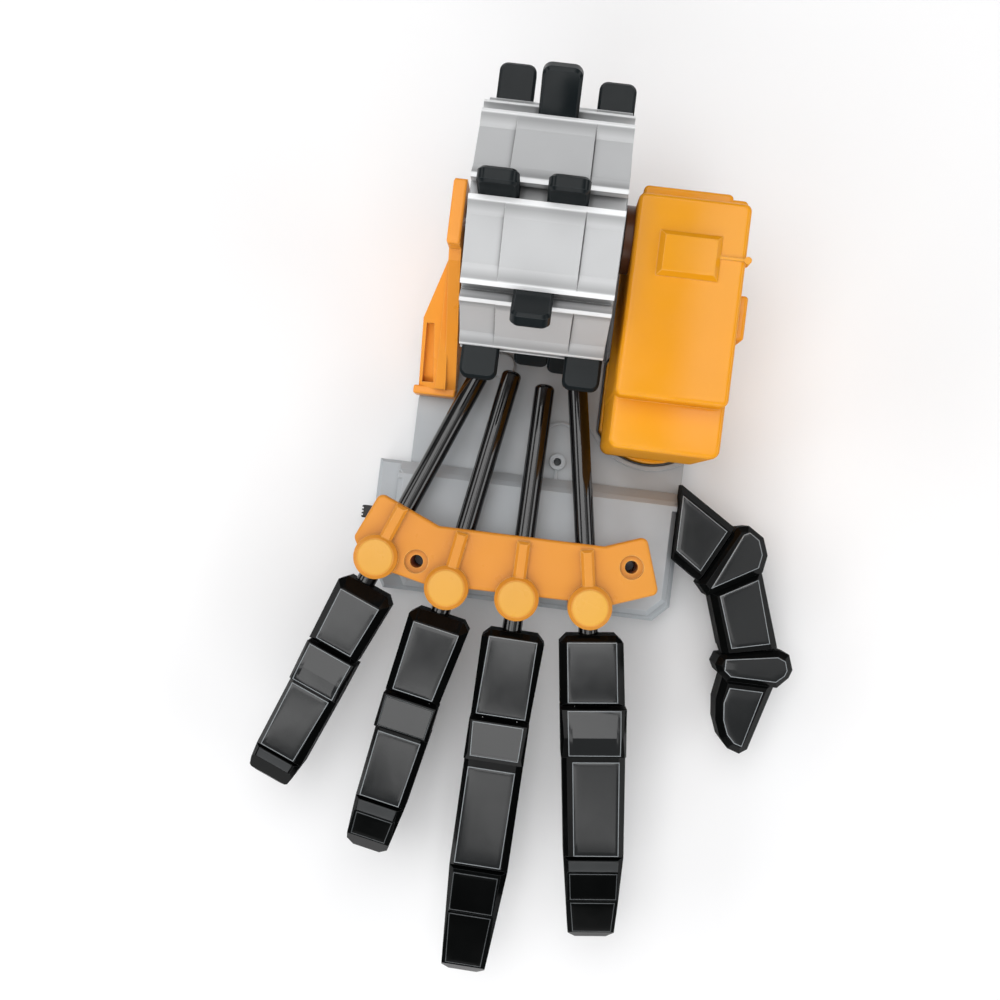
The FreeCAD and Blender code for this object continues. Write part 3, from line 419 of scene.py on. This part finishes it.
def panel_mesh(name, outline, surface, to_frame, proud=PROUD, parts=8, fold=None):
    """A cover plate over an outline, with a fine rounded rim, and either crowned or folded in two."""
    crown = CROWN
    if fold:
        outline, parts, crown = with_fold(outline, fold), 1, 0.0
    outline = counterclockwise(outline)
    shortest = min(math.hypot(x1 - x0, y1 - y0) for (x0, y0), (x1, y1) in sides(outline))
    border = min(BORDER, shortest * BORDER_SHARE)
    rings = ((outline, PANEL_ROOT), (outline, proud - SIDE_DROP),
             (inset(outline, RIM_OUTER), proud - RIM_DROP), (inset(outline, RIM_INNER), proud),
             (inset(outline, border), proud + crown * 0.7))
    mesh = bmesh.new()
    loops = []
    for ring, lift in rings:
        loops.append([mesh.verts.new(to_frame(x, y, surface(x, y) + lift)) for x, y in divided(ring, parts)])
    for index, (lower, upper) in enumerate(zip(loops, loops[1:])):
        strip(mesh, lower, upper, 1 if index in RIM_STRIPS else 0)
    if fold:
        corners = len(outline)
        first = min(range(corners), key=lambda index: abs(outline[index][1] - fold))
        for start in (first, first + corners // 2):
            mesh.faces.new([loops[-1][(start + step) % corners] for step in range(corners // 2 + 1)])
    else:
        points = divided(inset(outline, border), parts)
        fill_top(mesh, loops[-1], points, surface, to_frame, proud + crown, outline)
    mesh.faces.new(list(reversed(loops[0])))
    bmesh.ops.recalc_face_normals(mesh, faces=mesh.faces)
    return mesh_object(name, mesh)


def fill_top(mesh, loop, points, surface, to_frame, lift, outline):
    """Close the top with rings that shrink to the middle, so that folds in the surface are followed."""
    middle_x = sum(x for x, y in outline) / len(outline)
    middle_y = sum(y for x, y in outline) / len(outline)
    for share in (0.66, 0.33):
        upper = []
        for x, y in points:
            px, py = middle_x + (x - middle_x) * share, middle_y + (y - middle_y) * share
            upper.append(mesh.verts.new(to_frame(px, py, surface(px, py) + lift - 0.02 * share)))
        strip(mesh, loop, upper)
        loop = upper
    fan(mesh, loop, mesh.verts.new(to_frame(middle_x, middle_y, surface(middle_x, middle_y) + lift)))


# The material of each kind of panel, and the rim that goes with each material.
# The rims' lighter colours are painted edge highlights.
PANEL_STYLE = {"rear": "panel", "knuckle": "panel", "bar": "panel",
               "band": "band", "distal": "tip", "end": "tip"}
RIM_OF = {"panel": "rim", "tip": "rim dark", "band": "band"}


def panel(name, body, outline, surface, to_frame, key="panel", **shape):
    """Make a panel, paint it and let it ride on its body."""
    obj = panel_mesh(name, outline, surface, to_frame, **shape)
    paint(obj, key, RIM_OF[key])
    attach(obj, body)


# Fingers in mm: pivot and yaw of the lever, end of the rear piece, front of the knuckle, the fold's share of
# it, top line of the tip, and the panels' corners, as places across and along the finger.
TOP = 31.5
FOLD_TOP = 32.4
KNUCKLE_RISE = 0.1
KNUCKLE_GAP = 0.8
FINGERS = (
    dict(x=-34.5, y=-87.7, yaw=22.0, rear=28.2, knuckle=40.0, fold=0.6,
         tip=((60.0, 31.2), (62.9, 30.8), (63.0, 30.4), (67.4, 26.0), (68.8, 22.0)),
         panels=(("rear", ((-4.4, 12.3), (7.4, 12.3), (6.8, 27.1), (-3.8, 27.1))),
                 ("knuckle", ((-4.5, 29.2), (8.1, 29.2), (8.2, 39.8), (-4.0, 39.8))),
                 ("bar", ((-3.6, 40.6), (7.7, 40.6), (7.0, 59.2), (-3.0, 59.2))),
                 ("band", ((-2.8, 60.3), (7.2, 60.3), (7.0, 62.7), (-2.6, 62.7))))),
    dict(x=-14.9, y=-93.5, yaw=11.0, rear=31.5, knuckle=41.4, fold=0.9,
         tip=((61.0, 31.3), (64.6, 30.9), (64.7, 30.5), (71.6, 29.3), (75.8, 23.5)),
         panels=(("rear", ((-5.7, 11.5), (7.1, 11.5), (5.7, 30.5), (-5.5, 30.5))),
                 ("knuckle", ((-6.5, 32.7), (6.8, 32.7), (6.8, 40.8), (-6.3, 40.8))),
                 ("bar", ((-5.7, 42.2), (6.3, 42.2), (5.9, 60.2), (-5.1, 60.2))),
                 ("band", ((-4.9, 61.4), (5.7, 61.4), (5.5, 64.4), (-4.7, 64.4))),
                 ("distal", ((-4.6, 65.0), (5.6, 65.0), (5.2, 71.3), (-4.3, 71.3))))),
    dict(x=3.9, y=-94.1, yaw=1.4, rear=33.1, knuckle=44.5, fold=0.82,
         tip=((73.6, 31.4), (85.6, 30.9), (85.7, 30.5), (100.4, 28.9), (103.2, 24.5)),
         panels=(("rear", ((-5.8, 11.1), (7.3, 11.1), (7.1, 32.1), (-6.3, 32.1))),
                 ("knuckle", ((-6.8, 34.2), (7.0, 34.2), (6.8, 43.4), (-6.2, 43.4))),
                 ("bar", ((-6.3, 46.4), (6.5, 46.4), (6.3, 72.4), (-6.2, 72.4))),
                 ("distal", ((-6.0, 75.0), (6.1, 75.0), (5.9, 85.2), (-5.7, 85.2))),
                 ("end", ((-5.6, 86.2), (5.8, 86.2), (5.0, 100.0), (-4.7, 100.0))))),
    dict(x=23.4, y=-94.0, yaw=-7.0, rear=26.8, knuckle=40.3, fold=0.58,
         tip=((67.4, 31.3), (71.0, 31.0), (71.1, 30.6), (79.0, 29.8), (79.1, 29.5),
              (88.0, 28.0), (90.3, 24.5)),
         panels=(("rear", ((-5.9, 9.6), (7.4, 9.6), (7.7, 25.8), (-5.7, 25.8))),
                 ("knuckle", ((-5.8, 27.8), (8.6, 27.8), (8.4, 39.9), (-5.5, 39.9))),
                 ("bar", ((-4.5, 41.5), (8.1, 41.5), (7.8, 66.6), (-4.2, 66.6))),
                 ("band", ((-5.5, 67.9), (7.8, 67.9), (7.7, 70.8), (-5.4, 70.8))),
                 ("distal", ((-5.3, 71.5), (7.6, 71.5), (7.3, 78.7), (-5.1, 78.7))),
                 ("end", ((-5.0, 79.6), (7.0, 79.6), (6.0, 87.8), (-4.4, 87.8))))),
)
LEVEL = ((0, TOP), (1, TOP))


def finger_place(finger):
    """Places across and along a finger, and a height, all in mm, to the frame in metres."""
    lean = math.radians(-finger["yaw"])

    def place(across, along, height):
        x = finger["x"] + across * math.cos(lean) + along * math.sin(lean)
        y = finger["y"] + across * math.sin(lean) - along * math.cos(lean)
        return Vector((x, y, height)) * MM
    return place


def knuckle_line(finger):
    """The folded top of the knuckle, as (distance, height) points."""
    start, front = finger["rear"] + KNUCKLE_GAP, finger["knuckle"]
    fold = start + (front - start) * finger["fold"]
    return ((start, TOP + KNUCKLE_RISE), (fold, FOLD_TOP), (front, TOP + KNUCKLE_RISE))


for number, finger in enumerate(FINGERS, 1):
    for kind, outline in finger["panels"]:
        body = "lever %d" % number if kind == "rear" else "finger %d" % number
        line = finger["tip"]
        if kind in ("rear", "bar"):
            line = LEVEL
        elif kind == "knuckle":
            line = knuckle_line(finger)
        panel("finger_%d_%s_panel" % (number, kind), body, outline,
              lambda x, y, line=line: height_on(line, y), finger_place(finger), PANEL_STYLE[kind],
              proud=END_PROUD if kind in ("distal", "end") else PROUD,
              fold=line[1][0] if kind == "knuckle" else None)

# Thumb panels: body, height of the surface under the panel and its corners, in mm in the frame.
THUMB_PANELS = (
    ("root", "base", 20.0, ((45.9, -61.3), (59.2, -69.7), (53.2, -81.5), (45.9, -76.6))),
    ("block_1", "thumb middle", 20.8, ((63.6, -70.0), (65.2, -69.2), (68.0, -71.0), (69.4, -74.9),
                                       (68.8, -78.6), (56.5, -85.9))),
    ("bar", "thumb middle", 20.0, ((59.3, -87.6), (69.3, -81.8), (74.6, -99.0), (64.2, -101.6))),
    ("block_2", "thumb tip", 20.8, ((62.9, -104.6), (77.0, -102.2), (79.2, -103.1), (80.0, -105.6),
                                    (79.4, -107.2), (77.2, -109.2), (64.8, -109.2), (62.9, -107.7))),
    ("end", "thumb tip", 20.0, ((65.0, -112.3), (74.3, -112.3), (70.3, -128.0), (68.1, -127.4),
                                (65.9, -125.2), (64.4, -121.4), (63.9, -116.6))),
)


def thumb_place(x, y, height):
    return Vector((x, y, height)) * MM


for kind, body, top, outline in THUMB_PANELS:
    panel("thumb_%s_panel" % kind, body, outline, lambda x, y, top=top: top, thumb_place, "panel", parts=6)

# ---------------------------------------------------------------- disc faces
DISC_TOP = 36.5
DISC_STEPS = 64
# Radius and lift of the turned profile, and the lift of its centre, in mm.
DISC_PROFILE = ((4.72, -0.2), (4.72, 0.02), (4.6, 0.09), (4.3, 0.12), (2.2, 0.14))
DISC_CENTRE = 0.145


def disc_face(name, x, y):
    """The paler, slightly crowned face of a bridge disc, turned from its profile."""
    mesh = bmesh.new()
    loops = []
    for radius, lift in DISC_PROFILE:
        loop = []
        for step in range(DISC_STEPS):
            angle = 2 * math.pi * step / DISC_STEPS
            place = Vector((x + radius * math.cos(angle), y + radius * math.sin(angle), DISC_TOP + lift))
            loop.append(mesh.verts.new(place * MM))
        loops.append(loop)
    for lower, upper in zip(loops, loops[1:]):
        strip(mesh, lower, upper)
    fan(mesh, loops[-1], mesh.verts.new(Vector((x, y, DISC_TOP + DISC_CENTRE)) * MM))
    mesh.faces.new(list(reversed(loops[0])))
    bmesh.ops.recalc_face_normals(mesh, faces=mesh.faces)
    obj = mesh_object(name, mesh)
    paint(obj, "disc")
    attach(obj, "base")


for number, finger in enumerate(FINGERS, 1):
    disc_face("bridge_disc_%d" % number, finger["x"], finger["y"])

# ---------------------------------------------------------------- floor, light and camera
FLOOR_HALF = 3
FLOOR_Z = -0.0002


def make_floor():
    """A plain paper floor, just below the base's underside."""
    mesh = bmesh.new()
    corners = ((-FLOOR_HALF, -FLOOR_HALF), (FLOOR_HALF, -FLOOR_HALF), (FLOOR_HALF, FLOOR_HALF),
               (-FLOOR_HALF, FLOOR_HALF))
    mesh.faces.new([mesh.verts.new((x, y, FLOOR_Z)) for x, y in corners])
    floor = mesh_object("floor", mesh)
    tree = Tree("paper floor")
    tree.links.new(tree.mix(tree.noise(8, 2.0), linear(240, 240, 241), linear(243, 243, 243)),
                   tree.shader.inputs["Base Color"])
    tree.shader.inputs["Roughness"].default_value = 0.9
    tree.shader.inputs["Specular IOR Level"].default_value = 0.1
    floor.data.materials.append(tree.material)


def softbox(name, place, target, width, depth, power):
    """A rectangular area light at a place, facing a target."""
    data = bpy.data.lights.new(name, "AREA")
    data.shape = "RECTANGLE"
    data.size, data.size_y, data.energy = width, depth, power
    light = bpy.data.objects.new(name, data)
    light.location = place
    light.rotation_euler = (Vector(target) - Vector(place)).to_track_quat("-Z", "Y").to_euler()
    bpy.context.scene.collection.objects.link(light)


# The dome's brightness, from the horizon up.
DOME = ((0.0, 0.10), (0.35, 0.14), (0.75, 0.3), (1.0, 0.34))
DOME_BLUE = 1.01
DOME_STRENGTH = 0.9


def make_world():
    """A studio dome: bright overhead, dim towards the horizon."""
    world = bpy.data.worlds.new("studio")
    bpy.context.scene.world = world
    world.use_nodes = True
    nodes, links = world.node_tree.nodes, world.node_tree.links
    place = nodes.new("ShaderNodeTexCoord").outputs["Generated"]
    split = nodes.new("ShaderNodeSeparateXYZ")
    links.new(place, split.inputs[0])
    ramp = nodes.new("ShaderNodeValToRGB")
    links.new(split.outputs["Z"], ramp.inputs["Fac"])
    elements = ramp.color_ramp.elements
    elements[0].position, elements[1].position = DOME[0][0], DOME[-1][0]
    for position, _ in DOME[1:-1]:
        elements.new(position)
    for element, (_, level) in zip(elements, DOME):
        element.color = (level, level, level * DOME_BLUE, 1.0)
    background = nodes["Background"]
    links.new(ramp.outputs["Color"], background.inputs["Color"])
    background.inputs["Strength"].default_value = DOME_STRENGTH


make_floor()
make_world()
# The overhead light is in sheets, because the glossy panels and the housing show their edges: a main sheet,
# a dimmer one over the thumb, and strips over the fingers. Each has its x range, y range and radiance.
OVERHEAD_Z = 1.05
OVERHEAD = (
    ("main", -0.60, 0.085, -0.20, 0.72, 2.7),
    ("housing", 0.145, 0.22, 0.0, 0.72, 3.0),
    ("gap rear", 0.085, 0.145, 0.33, 0.72, 2.0),
    ("gap front", 0.085, 0.145, -0.20, -0.02, 2.7),
    ("thumb side", 0.22, 0.60, -0.25, 0.72, 0.5),
    ("rear 1", -0.60, -0.12, -0.262, -0.20, 2.7),
    ("rear 3", -0.03, 0.06, -0.258, -0.20, 2.7),
    ("rear 4", 0.06, 0.22, -0.235, -0.20, 2.4),
    ("fold 1", -0.47, -0.32, -0.80, -0.62, 2.6),
    ("front 1", -0.50, -0.12, -0.365, -0.30, 2.5),
    ("front 2", -0.12, -0.03, -0.408, -0.270, 2.3),
    ("front 3", -0.03, 0.06, -0.462, -0.315, 1.9),
    ("front 4 near", 0.06, 0.22, -0.385, -0.29, 1.0),
    ("front 4 far", 0.06, 0.22, -0.45, -0.388, 1.7),
)
for sheet, x0, x1, y0, y1, radiance in OVERHEAD:
    place = ((x0 + x1) / 2, (y0 + y1) / 2, OVERHEAD_Z)
    power = radiance * math.pi * (x1 - x0) * (y1 - y0)
    softbox("overhead " + sheet, place, place[:2] + (0.0,), x1 - x0, y1 - y0, power)
softbox("front", (0.0, -0.95, 0.62), (0.0, -0.08, 0.0), 1.3, 0.5, 5.6)
softbox("left", (-0.95, -0.05, 0.62), (0.0, -0.05, 0.0), 1.1, 0.4, 3.6)
softbox("right", (0.95, -0.05, 0.62), (0.0, -0.05, 0.0), 1.1, 0.4, 3.6)

camera_data = bpy.data.cameras.new("camera")
camera_data.lens = 43.72
camera_data.sensor_width = 36.0
camera_data.clip_start = 0.01
camera = bpy.data.objects.new("camera", camera_data)
camera.location = (0.00501, -0.0682, 0.35582)
camera.rotation_euler = [math.radians(angle) for angle in (0.0948, 1.539, 7.045)]
bpy.context.scene.collection.objects.link(camera)
bpy.context.scene.camera = camera
bpy.context.scene.view_settings.view_transform = "Standard"
bpy.context.scene.view_settings.look = "None"
